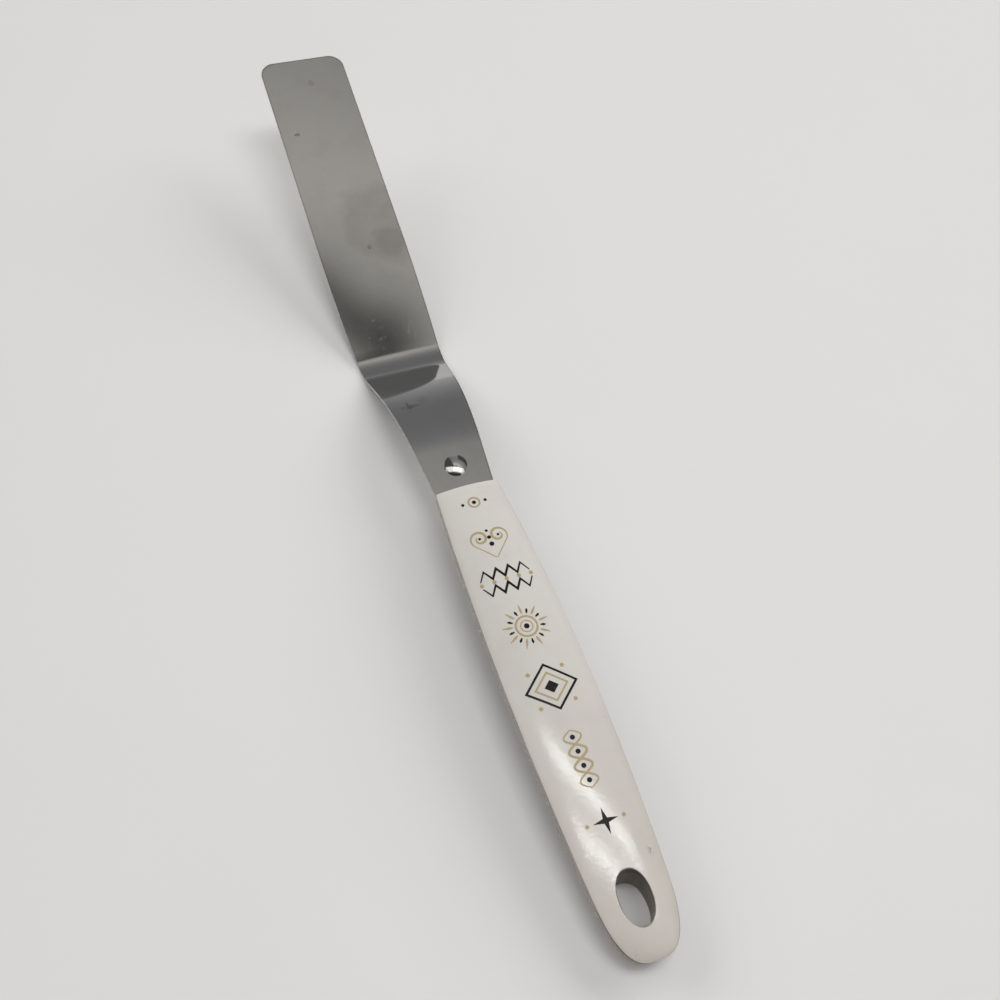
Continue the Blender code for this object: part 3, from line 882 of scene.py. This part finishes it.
def plastic_finish(knife):
    """Moulded plastic with a faint orange peel, yellower and darker towards its butt, with dust and specks,
    and painted shade along its top edges, on its side bands and in its hole.
    """
    handle = knife.handle
    made, where = start_finish("moulded_plastic", resting_pose(knife.blade))
    rim = where.node("ShaderNodeAttribute", {"attribute_name": RIM}, None, "Fac") - RIM_ZERO
    clouds = where.noise(60.0, 4.0, 0.6)
    mottle = where.noise(420.0, 3.0, 0.6)
    peel = where.noise(1000.0, 2.0, 0.6)
    fine = where.noise(800.0, 3.0, 0.6)
    middle, slope = handle_point(knife, handle.length - handle.hole_setback)
    from_hole = where.vector("SUBTRACT", middle)
    along = from_hole.vector("DOT_PRODUCT", back(slope + handle.hole_lean), "Value")
    across = from_hole.vector("DOT_PRODUCT", (0.0, 1.0, 0.0), "Value")
    brow = rim.rise(-0.0025, 0.0) * 0.22
    # Mixes towards the yellowed colour near the top edges, towards the butt and at random
    aged = brow + along.rise(-0.090, 0.010) * 0.45 + clouds.rise(0.40, 0.75) * 0.20 + (mottle - 0.5) * 0.20
    tone = aged.mix(handle.plastic, handle.yellowed)
    # Painted shade on the side band below the top edge, which faces away from the light
    side = rim.rise(0.0001, 0.0006) * 0.52
    # Painted shade in a thin line along the top edges, uneven and stronger towards the butt
    line = 1 - abs(rim - 0.0002).rise(0.00015, 0.0004)
    line = line * (0.35 + clouds.rise(0.35, 0.65) * 0.35 + along.rise(-0.020, 0.012) * 0.40)
    along = along * (2 / handle.hole_length)
    across = across * (2 / handle.hole_width)
    # Painted shade on the walls of the hanging hole
    bore = 1 - (along * along + across * across).rise(1.08, 1.20)
    dust = where.noise(1000.0, 1.0, 0.4).rise(0.76, 0.80) * where.noise(60.0).rise(0.56, 0.68)
    specks = where.patch(handle_top(knife, 0.1185, -0.0083, 0.0), (0.0020, 0.0012, 0.002), fine, 1.8)
    specks = specks * fine.rise(0.50, 0.62)
    # Dust and specks, together with the painted shade of the top edges, side bands and hole
    dirt_and_shade = line + side + bore * (0.90 + (fine - 0.5) * 0.3) + dust * 0.4 + specks * 0.5
    tone = dirt_and_shade.mix(tone, handle.grime_and_shade)
    scratches = hairlines(where, 120.0, 0.006, (0.6, 1.0, 1.0)) * where.noise(40.0).rise(0.55, 0.68)
    roughness = 0.115 + clouds * 0.04 + (mottle - 0.5) * 0.08 + scratches * 0.10 + dirt_and_shade * 0.25
    relief = peel * 1.0 + mottle * 0.5 - scratches * 0.4
    bump = where.node("ShaderNodeBump", None, {"Strength": 0.40, "Distance": 0.00005, "Height": relief})
    return end_finish(made, base_color=tone, roughness=roughness, normal=bump)


def plating_finish(knife, name, wear):
    """Bright plating, dulled and finely scratched; wear is the share that is dulled."""
    rivet = knife.rivet
    made, where = start_finish(name, resting_pose(knife.blade))
    clouds = where.noise(600.0, 3.0, 0.6)
    fine = where.noise(2600.0, 2.0, 0.5)
    scratches = hairlines(where, 700.0, 0.02, (1.0, 0.5, 1.0))
    dull = clouds.rise(0.75 - wear, 1.0 - wear * 0.5) + scratches * 0.15
    tone = dull.mix(rivet.plating, rivet.worn_plating)
    roughness = 0.07 + dull * 0.16 + (fine - 0.5) * 0.05
    relief = fine * 0.4 - scratches * 0.4
    bump = where.node("ShaderNodeBump", None, {"Strength": 0.08, "Distance": 0.00003, "Height": relief})
    return end_finish(made, base_color=tone, metallic=1.0, roughness=roughness, normal=bump)


def ink_finish(knife, name, full, thin, worn, gloss):
    """Screen ink with small bare pinholes; worn is the share of thin ink."""
    made, where = start_finish(name, resting_pose(knife.blade))
    clouds = where.noise(260.0, 4.0, 0.65)
    grains = where.noise(2200.0, 2.0, 0.5)
    thinned = clouds.rise(0.70 - worn, 0.95 - worn * 0.5) * 0.7 + grains.rise(0.60, 0.75) * 0.5
    tone = thinned.mix(full, thin)
    roughness = 0.32 + clouds * 0.15 + (grains - 0.5) * 0.10
    bump = where.node("ShaderNodeBump", None, {"Strength": 0.15, "Distance": 0.00003, "Height": grains})
    return end_finish(made, base_color=tone, roughness=roughness, normal=bump, specular_ior_level=gloss)


def floor_finish(stage):
    """Plain pale board with the faintest unevenness."""
    made, where = start_finish("pale_board")
    clouds = where.noise(9.0, 3.0, 0.6)
    shade = clouds.mix(stage.floor_colour, [channel * 0.97 for channel in stage.floor_colour])
    roughness = 0.55 + clouds * 0.15
    return end_finish(made, base_color=shade, roughness=roughness)


# Print

class Ink:
    """Thin inked shapes that follow the crowned top of the handle."""

    def __init__(self, knife):
        self.knife = knife
        self.mesh = bmesh.new()

    def corner(self, point, lift=0.0):
        """Upper and lower vertex of the ink at a place."""
        inks = self.knife.printing
        heights = (inks.thickness + lift, -inks.key_depth)
        return [self.mesh.verts.new(handle_top(self.knife, *point, height)) for height in heights]

    def stroke(self, path, widths, closed=False, lift=0.0):
        """Ribbon along a path, with a width at each of its points."""
        path, widths = refined(path, widths, closed)
        sides = []
        for index, (along, across) in enumerate(path):
            before = path[index - 1] if closed or index else path[0]
            after = path[(index + 1) % len(path)] if closed or index + 1 < len(path) else path[-1]
            entry = Vector((along - before[0], across - before[1]))
            leave = Vector((after[0] - along, after[1] - across))
            entry = (entry if entry.length else leave).normalized()
            leave = (leave if leave.length else entry).normalized()
            course = (entry + leave).normalized()
            reach = widths[index] / 2 / max(course.dot(entry), 0.4)
            aside = Vector((-course.y, course.x)) * reach
            edges = [(along + aside.x * way, across + aside.y * way) for way in (1, -1)]
            sides.append([self.corner(edge, lift) for edge in edges])
        count = len(sides) if closed else len(sides) - 1
        for index in range(count):
            (left, left_low), (right, right_low) = sides[index]
            (left_on, left_low_on), (right_on, right_low_on) = sides[(index + 1) % len(sides)]
            self.mesh.faces.new((left, right, right_on, left_on))
            self.mesh.faces.new((left_low, left_low_on, right_low_on, right_low))
            self.mesh.faces.new((left, left_on, left_low_on, left_low))
            self.mesh.faces.new((right, right_low, right_low_on, right_on))
        if not closed:
            for (left, left_low), (right, right_low) in (sides[0], sides[-1]):
                self.mesh.faces.new((left, left_low, right_low, right))

    def blob(self, middle, rim):
        """Filled shape whose whole rim is seen from its middle, in rings that follow the crown."""
        rim, _ = refined(rim, [0.0] * len(rim), True)
        rings = math.ceil(max(math.dist(middle, point) for point in rim) / LONGEST_STEP)
        top, low = self.corner(middle)
        inner = None
        for step in range(1, rings + 1):
            outer = [self.corner(between(middle, point, step / rings)) for point in rim]
            for index, (near, near_low) in enumerate(outer):
                follow = (index + 1) % len(outer)
                far, far_low = outer[follow]
                if inner:
                    (here, here_low), (next_one, next_low) = inner[index], inner[follow]
                    self.mesh.faces.new((here, near, far, next_one))
                    self.mesh.faces.new((here_low, next_low, far_low, near_low))
                else:
                    self.mesh.faces.new((top, near, far))
                    self.mesh.faces.new((low, far_low, near_low))
                if step == rings:
                    self.mesh.faces.new((near, near_low, far_low, far))
            inner = outer

    def circle(self, middle, radius, width, steps=48):
        self.stroke(around(middle, [radius] * steps), [width] * steps, closed=True)

    def dot(self, middle, radius, steps=24):
        self.blob(middle, around(middle, [radius] * steps))

    def piece(self, name):
        bmesh.ops.recalc_face_normals(self.mesh, faces=self.mesh.faces)
        made = add_object(name, self.mesh)
        smooth(made)
        return made


def between(start, end, share):
    """Place on the way from one place to another."""
    return [here + (there - here) * share for here, there in zip(start, end)]


def around(middle, radii, turned=0.0):
    """Points at even angles round a middle, each at its own radius."""
    points = []
    for index, radius in enumerate(radii):
        turn = turned + 2 * math.pi * index / len(radii)
        points.append((middle[0] + radius * math.cos(turn), middle[1] + radius * math.sin(turn)))
    return points


def refined(path, widths, closed):
    """A path and its widths with points added, so that no step is longer than the crown allows."""
    ends = list(zip(path, widths))
    pairs = zip(ends, ends[1:] + ends[:1]) if closed else zip(ends, ends[1:])
    points = []
    thick = []
    for (start, width), (end, width_on) in pairs:
        count = max(1, math.ceil(math.dist(start, end) / LONGEST_STEP))
        for step in range(count):
            points.append(between(start, end, step / count))
            thick.append(width + (width_on - width) * step / count)
    if not closed:
        points.append(path[-1])
        thick.append(widths[-1])
    return points, thick


def swelling(count, least, most):
    """Widths that swell from thin ends to a thick middle."""
    return [least + (most - least) * math.sin(math.pi * step / (count - 1)) for step in range(count)]


def print_bead(gold, black, at):
    """Ring round a dot."""
    gold.circle((at, 0.0), 1.7 * MM, 0.55 * MM)
    black.dot((at, 0.0), 0.65 * MM)
    for side in (-1, 1):
        black.dot((at, side * 3.6 * MM), 0.5 * MM)


def print_scrolls(gold, black, at):
    """Two mirrored scrolls that meet in a point."""
    steps = 48
    outer = 2.9 * MM
    for side in (-1, 1):
        path = [(at + 6.4 * MM, side * 0.15 * MM)]
        for step in range(steps):
            share = step / (steps - 1)
            turn = math.pi * (0.25 + 2.5 * share)
            radius = outer * (1 - 0.70 * share)
            path.append((at - MM + radius * math.cos(turn), side * (outer + radius * math.sin(turn))))
        gold.stroke(path, swelling(len(path), 0.28 * MM, 0.80 * MM))
        black.dot((at - MM, side * outer), 0.42 * MM)
    for step, radius in enumerate((0.75, 0.6, 0.45)):
        black.dot((at + (1.6 - 2.4 * step) * MM, 0.0), radius * MM)


def print_zigzags(gold, black, at):
    """Two zigzag lines with dots between their peaks."""
    points = 9
    half = 7.6 * MM
    pitch = 2 * half / (points - 1)
    for row in (-1, 1):
        path = []
        for index in range(points):
            tooth = 1.5 * MM if index % 2 else -1.5 * MM
            path.append((at + row * 2.6 * MM + tooth * row, -half + pitch * index))
        black.stroke(path, swelling(points, 0.35 * MM, 0.75 * MM))
    for index in range(0, points, 2):
        gold.dot((at, -half + pitch * index), 0.62 * MM)


def print_sun(gold, black, at):
    """Two rings with long and short rays."""
    gold.circle((at, 0.0), 3.1 * MM, 0.6 * MM)
    gold.circle((at, 0.0), 1.75 * MM, 0.35 * MM)
    black.dot((at, 0.0), 0.8 * MM)
    rays = 18
    for index in range(rays):
        turn = 2 * math.pi * index / rays
        reach = (7.0 if index % 2 else 5.6) * MM
        radii = (4.0 * MM, 5.0 * MM, reach)
        ray = [(at + radius * math.cos(turn), radius * math.sin(turn)) for radius in radii]
        ink = gold if index % 2 else black
        ink.stroke(ray, [0.35 * MM, 0.75 * MM, 0.15 * MM])


def print_diamonds(gold, black, at):
    """Diamond within a diamond, with dots at its corners."""
    black.stroke(around((at, 0.0), [6.6 * MM, 7.4 * MM] * 2), [0.65 * MM] * 4, closed=True)
    gold.stroke(around((at, 0.0), [4.2 * MM, 4.7 * MM] * 2), [0.5 * MM] * 4, closed=True)
    black.blob((at, 0.0), around((at, 0.0), [1.9 * MM, 2.1 * MM] * 2))
    for spot in around((at, 0.0), [7.2 * MM] * 4, math.pi / 4):
        gold.dot(spot, 0.6 * MM)


def print_braid(gold, black, at):
    """Two waves that cross, with a dot in each eye."""
    steps = 121
    reach = 8.0 * MM
    waves = 2
    for side in (-1, 1):
        path = []
        for step in range(steps):
            share = step / (steps - 1)
            swing = math.sin(2 * math.pi * waves * share) * 2.5 * MM
            path.append((at - reach + 2 * reach * share, side * swing))
        gold.stroke(path, swelling(steps, 0.3 * MM, 0.7 * MM), lift=(side + 1) * 0.005 * MM)
    eyes = 2 * waves
    for index in range(eyes):
        black.dot((at - reach + 2 * reach * (index + 0.5) / eyes, 0.0), 0.7 * MM)


def print_star(gold, black, at):
    """Star of four long points, between two dots."""
    black.blob((at, 0.0), around((at, 0.0), [3.6 * MM, 0.9 * MM] * 4))
    for side in (-1, 1):
        gold.dot((at, side * 5.2 * MM), 0.55 * MM)


MOTIFS = (
    (print_bead, 0.0),
    (print_scrolls, 14.0),
    (print_zigzags, 28.0),
    (print_sun, 44.0),
    (print_diamonds, 63.0),
    (print_braid, 84.0),
    (print_star, 101.0),
)


# Stage

WARM = (1.02, 1.0, 0.96)
COOL = (0.99, 1.0, 1.04)
WALL_DIM = 0.20
FOOT_GLOW = 0.28
FOOT_REACH = 0.47
FOOT_FADE = 1.8
BAND_GLOW = 0.33
BAND_HEIGHT = 0.92
BAND_GROWTH = 13.0
BAND_END = (0.912, 0.945)
TOP_LEVEL = 0.44
WARMING = (0.81, 0.875)
CEILING_SLANT = 0.417
CEILING_EDGE = 0.19
CEILING_DEPTH = (-0.48, -0.38)
BOX_CLIMB = math.radians(27.0)
RIGHT_BOX = (math.radians(-62.0), 5.0)
LEFT_BOX = (math.radians(38.0), 3.08)
FRONT_TUBE = ((0.085, 0.065), (-0.175, -0.595))
REAR_TUBE = ((-0.095, 0.110), (-0.315, -0.540))
NEAREST_SEEN = 0.01
BEAM_START = Vector((0.151, -0.2215, 0.0))
BEAM_END = Vector((0.267, -0.135, 0.0))
BEAM_WIDTH = 0.0235
BEAM_DARKNESS = 0.88
KNOT = Vector((0.2115, -0.1964, 0.0))
KNOT_WIDTH = 0.0260
KNOT_DARKNESS = 0.74


def add_floor(stage):
    """Large level floor whose upper face is Z = 0."""
    mesh = bmesh.new()
    bmesh.ops.create_grid(mesh, x_segments=8, y_segments=8, size=stage.floor_size / 2)
    floor = add_object("studio_floor", mesh)
    floor.data.materials.append(floor_finish(stage))
    floor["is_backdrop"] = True


def add_lamp(name, width, height, power):
    """Soft rectangular lamp that faces down."""
    lamp = bpy.data.lights.new(name, "AREA")
    lamp.shape = "RECTANGLE"
    lamp.size = width
    lamp.size_y = height
    lamp.energy = power
    made = bpy.data.objects.new(name, lamp)
    bpy.context.scene.collection.objects.link(made)
    return made


def add_tube(name, stage, start, end):
    """Long soft lamp that faces down, between two places over the floor."""
    course = Vector(end) - Vector(start)
    made = add_lamp(name, course.length, stage.tube_width, stage.tube_power)
    made.location = (*((Vector(start) + Vector(end)) / 2), stage.tube_height)
    made.rotation_euler.z = math.atan2(course.y, course.x)


def add_box(name, stage, turn, width, power):
    """Large soft lamp that stands in front, faces the knife and leaves no glint on it."""
    made = add_lamp(name, width, stage.box_height, power)
    made.data.color = WARM
    towards = Vector((math.cos(turn), math.sin(turn), math.tan(BOX_CLIMB))).normalized()
    made.location = towards * stage.box_distance
    made.rotation_euler = towards.to_track_quat("Z", "Y").to_euler()
    made.visible_glossy = False


def tinted(level):
    """Warm white of a given level."""
    return [level * channel for channel in WARM]


def fading(distance, width, depth):
    """1 far away and darker by the given depth in the middle."""
    share = distance * (1 / width)
    return 1 - share.math("EXPONENT", 0 - share * share) * depth


def wall_light(height):
    """Light of the wall in front: a glow at its foot, dim above it and pale towards a band near the top."""
    foot = height.node("ShaderNodeClamp", None, {"Value": 1 - height * (1 / FOOT_REACH)})
    climb = height.node("ShaderNodeClamp", None, {"Value": height}) * (1 / BAND_HEIGHT)
    level = WALL_DIM + foot.math("POWER", foot, FOOT_FADE) * FOOT_GLOW
    level = level + climb.math("POWER", climb, BAND_GROWTH) * BAND_GLOW
    level = level + height.rise(*BAND_END) * (TOP_LEVEL - level)
    return height.rise(*WARMING).mix(COOL, WARM).vector("MULTIPLY", level)


def add_surround(stage):
    """Light from all round: grey walls in front, a pale ceiling overhead and a dark beam across it."""
    world = bpy.data.worlds.new("studio_surround")
    bpy.context.scene.world = world
    world.use_nodes = True
    tree = world.node_tree
    ray = Wire(tree).node("ShaderNodeTexCoord", output="Generated")
    ahead = ray.vector("DOT_PRODUCT", (1.0, 0.0, 0.0), "Value")
    left = ray.vector("DOT_PRODUCT", (0.0, 1.0, 0.0), "Value")
    height = ray.vector("DOT_PRODUCT", (0.0, 0.0, 1.0), "Value")
    front = wall_light(height)
    front = left.rise(-0.11, 0.06).mix(front, tinted(stage.side_level))
    rear = (0 - ahead).rise(0.55, 0.90) * (1 - abs(left).rise(0.2, 0.5))
    walls = rear.mix(tinted(stage.side_level), tinted(stage.rear_level))
    course = ahead - left * CEILING_SLANT - CEILING_EDGE
    nearer = 1 - course.rise(-0.02, 0.02)
    panel = course.rise(*CEILING_DEPTH) * (1 - abs(left + 0.05).rise(0.50, 0.62))
    ceiling = nearer.mix(front, panel.mix(tinted(stage.side_level), tinted(stage.panel_level)))
    room = height.rise(0.56, 0.68).mix(walls, ceiling)
    strip = ahead.rise(0.0, 0.1) * (1 - abs(left + 0.11).rise(0.29, 0.36))
    room = strip.mix(room, nearer.mix(front, tinted(stage.panel_level)))
    flat = ray.vector("MULTIPLY", (1.0, 1.0, 0.0))
    beam = BEAM_END - BEAM_START
    from_start = flat.vector("SUBTRACT", BEAM_START)
    share = from_start.vector("DOT_PRODUCT", beam / beam.length_squared, "Value")
    share = share.node("ShaderNodeClamp", None, {"Value": share})
    nearest = share.node("ShaderNodeCombineXYZ", None, {0: share * beam.x, 1: share * beam.y})
    shade = fading(from_start.vector("DISTANCE", nearest, "Value"), BEAM_WIDTH, BEAM_DARKNESS)
    shade = shade * fading(flat.vector("DISTANCE", KNOT, "Value"), KNOT_WIDTH, KNOT_DARKNESS)
    background = tree.nodes["Background"]
    plug(tree, background.inputs["Color"], room)
    plug(tree, background.inputs["Strength"], shade * stage.sky_level)


def add_camera(stage):
    data = bpy.data.cameras.new("camera")
    data.lens = stage.camera_lens
    data.clip_start = NEAREST_SEEN
    camera = bpy.data.objects.new("camera", data)
    bpy.context.scene.collection.objects.link(camera)
    camera.location = stage.camera_place
    camera.rotation_euler = stage.camera_turn
    bpy.context.scene.camera = camera


# Operators

class KNIFE_OT_stage(bpy.types.Operator):
    """Makes the floor, the lamps, the surround and the camera"""

    bl_idname = "knife.make_stage"
    bl_label = "Stage"

    def execute(self, context):
        stage = context.scene.palette_knife.stage
        add_floor(stage)
        add_surround(stage)
        add_tube("front_tube", stage, *FRONT_TUBE)
        add_tube("rear_tube", stage, *REAR_TUBE)
        add_box("right_box", stage, *RIGHT_BOX, stage.right_power)
        add_box("left_box", stage, *LEFT_BOX, stage.left_power)
        add_camera(stage)
        context.scene.view_settings.view_transform = "Standard"
        return {"FINISHED"}


class KNIFE_OT_blade(bpy.types.Operator):
    """Makes the bent sheet of blade, crank, shank and tang"""

    bl_idname = "knife.make_blade"
    bl_label = "Blade"

    def execute(self, context):
        knife = context.scene.palette_knife
        piece = add_object("blade_sheet", sheet_skin(knife))
        piece.data.shade_smooth()
        thicken = piece.modifiers.new("sheet", "SOLIDIFY")
        thicken.thickness = knife.blade.thickness
        thicken.offset = -1.0
        thicken.use_even_offset = True
        boolean(piece, rivet_bore(knife, "blade_bore"), "DIFFERENCE")
        edges = piece.modifiers.new("edges", "BEVEL")
        edges.width = knife.blade.edge_round
        edges.segments = BEVEL_STEPS
        edges.limit_method = "ANGLE"
        edges.angle_limit = SHARP_ANGLE
        edges.harden_normals = True
        settle(piece)
        fit(piece, knife, steel_finish(knife), "blade")
        return {"FINISHED"}


class KNIFE_OT_handle(bpy.types.Operator):
    """Makes the moulded handle with its tongue and its holes"""

    bl_idname = "knife.make_handle"
    bl_label = "Handle"

    def execute(self, context):
        knife = context.scene.palette_knife
        piece = add_object("handle_moulding", handle_body(knife))
        boolean(piece, add_object("tongue", loft(list(tongue_rings(knife)))), "UNION")
        boolean(piece, tang_slot(knife), "DIFFERENCE")
        boolean(piece, rivet_bore(knife, "handle_bore"), "DIFFERENCE")
        boolean(piece, spot_face(knife), "DIFFERENCE")
        boolean(piece, add_object("hanging_hole", loft(list(hole_rings(knife)))), "DIFFERENCE")
        settle(piece)
        smooth(piece)
        fit(piece, knife, plastic_finish(knife), "handle")
        return {"FINISHED"}


class KNIFE_OT_rivet(bpy.types.Operator):
    """Makes the rivet's domed pin and its socket"""

    bl_idname = "knife.make_rivet"
    bl_label = "Rivet"

    def execute(self, context):
        knife = context.scene.palette_knife
        rivet = knife.rivet
        head = rivet.head_diameter / 2
        stem = rivet.stem_diameter / 2
        top = rivet.clearance + rivet.dome_height
        seat = -seat_depth(knife) - rivet.grip
        pin = [(0.0, seat), (stem, seat), (stem, rivet.head_gap), (head, rivet.head_gap)]
        cap = top - rivet.head_rim
        ball = (head**2 + cap**2) / (2 * cap)
        for step in range(ARC_STEPS + 1):
            turn = math.asin(head / ball) * (1 - step / ARC_STEPS)
            pin.append((ball * math.sin(turn), top - ball * (1 - math.cos(turn))))
        seat -= rivet.clearance
        floor = seat - rivet.socket_head + rivet.socket_floor
        mouth = -rivet.clearance
        socket = [(0.0, floor), (socket_bore(rivet), floor), (socket_bore(rivet), mouth)]
        socket += [(socket_barrel(rivet), mouth), (socket_barrel(rivet), seat)]
        for step in range(ARC_STEPS + 1):
            across, rise = oval(math.pi / 2 * step / ARC_STEPS, 2.0)
            socket.append((head * across, seat - rivet.socket_head * rise))
        makes = (("pin", pin, "bright_plating", PIN_WEAR), ("socket", socket, "dull_plating", SOCKET_WEAR))
        for name, profile, finish, wear in makes:
            piece = add_object("rivet_" + name + "_turned", lathe(profile, *rivet_place(knife)))
            smooth(piece)
            fit(piece, knife, plating_finish(knife, finish, wear), "rivet_" + name)
        return {"FINISHED"}


class KNIFE_OT_print(bpy.types.Operator):
    """Prints the handle's top in two inks"""

    bl_idname = "knife.make_print"
    bl_label = "Print"

    def execute(self, context):
        knife = context.scene.palette_knife
        inks = knife.printing
        gold = Ink(knife)
        black = Ink(knife)
        for motif, behind in MOTIFS:
            motif(gold, black, inks.start + behind * MM)
        gold_look = ink_finish(knife, "gold_ink", inks.gold, inks.pale_gold, *GOLD_WEAR_AND_GLOSS)
        black_look = ink_finish(knife, "black_ink", inks.black, inks.grey, *BLACK_WEAR_AND_GLOSS)
        fit(gold.piece("print_gold"), knife, gold_look)
        fit(black.piece("print_black"), knife, black_look)
        return {"FINISHED"}


class KNIFE_PT_sidebar(bpy.types.Panel):
    """Lists the pieces of the knife and its stage"""

    bl_idname = "KNIFE_PT_sidebar"
    bl_label = "Palette knife"
    bl_space_type = "VIEW_3D"
    bl_region_type = "UI"
    bl_category = "Palette knife"

    def draw(self, context):
        for maker in MAKERS:
            self.layout.operator(maker.bl_idname)
        settings = context.scene.palette_knife
        for part in (settings.blade, settings.handle, settings.rivet, settings.printing, settings.stage):
            column = self.layout.column(align=True)
            for name in part.bl_rna.properties.keys():
                if name not in ("rna_type", "name"):
                    column.prop(part, name)


GROUPS = (BladeSettings, HandleSettings, RivetSettings, PrintSettings, StageSettings, KnifeSettings)
MAKERS = (KNIFE_OT_stage, KNIFE_OT_blade, KNIFE_OT_handle, KNIFE_OT_rivet, KNIFE_OT_print)
CLASSES = (*GROUPS, *MAKERS, KNIFE_PT_sidebar)


def register():
    for kind in CLASSES:
        bpy.utils.register_class(kind)
    bpy.types.Scene.palette_knife = group(KnifeSettings, "Palette knife", "Settings of the palette knife")


def unregister():
    del bpy.types.Scene.palette_knife
    for kind in reversed(CLASSES):
        bpy.utils.unregister_class(kind)


def main():
    register()
    bpy.ops.knife.make_stage()
    bpy.ops.knife.make_blade()
    bpy.ops.knife.make_handle()
    bpy.ops.knife.make_rivet()
    bpy.ops.knife.make_print()
    boxes = {"cad": CAD_BOX, "visual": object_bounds()}
    {name: [list(corner) for corner in box] for name, box in boxes.items()}


if __name__ == "__main__":
    main()
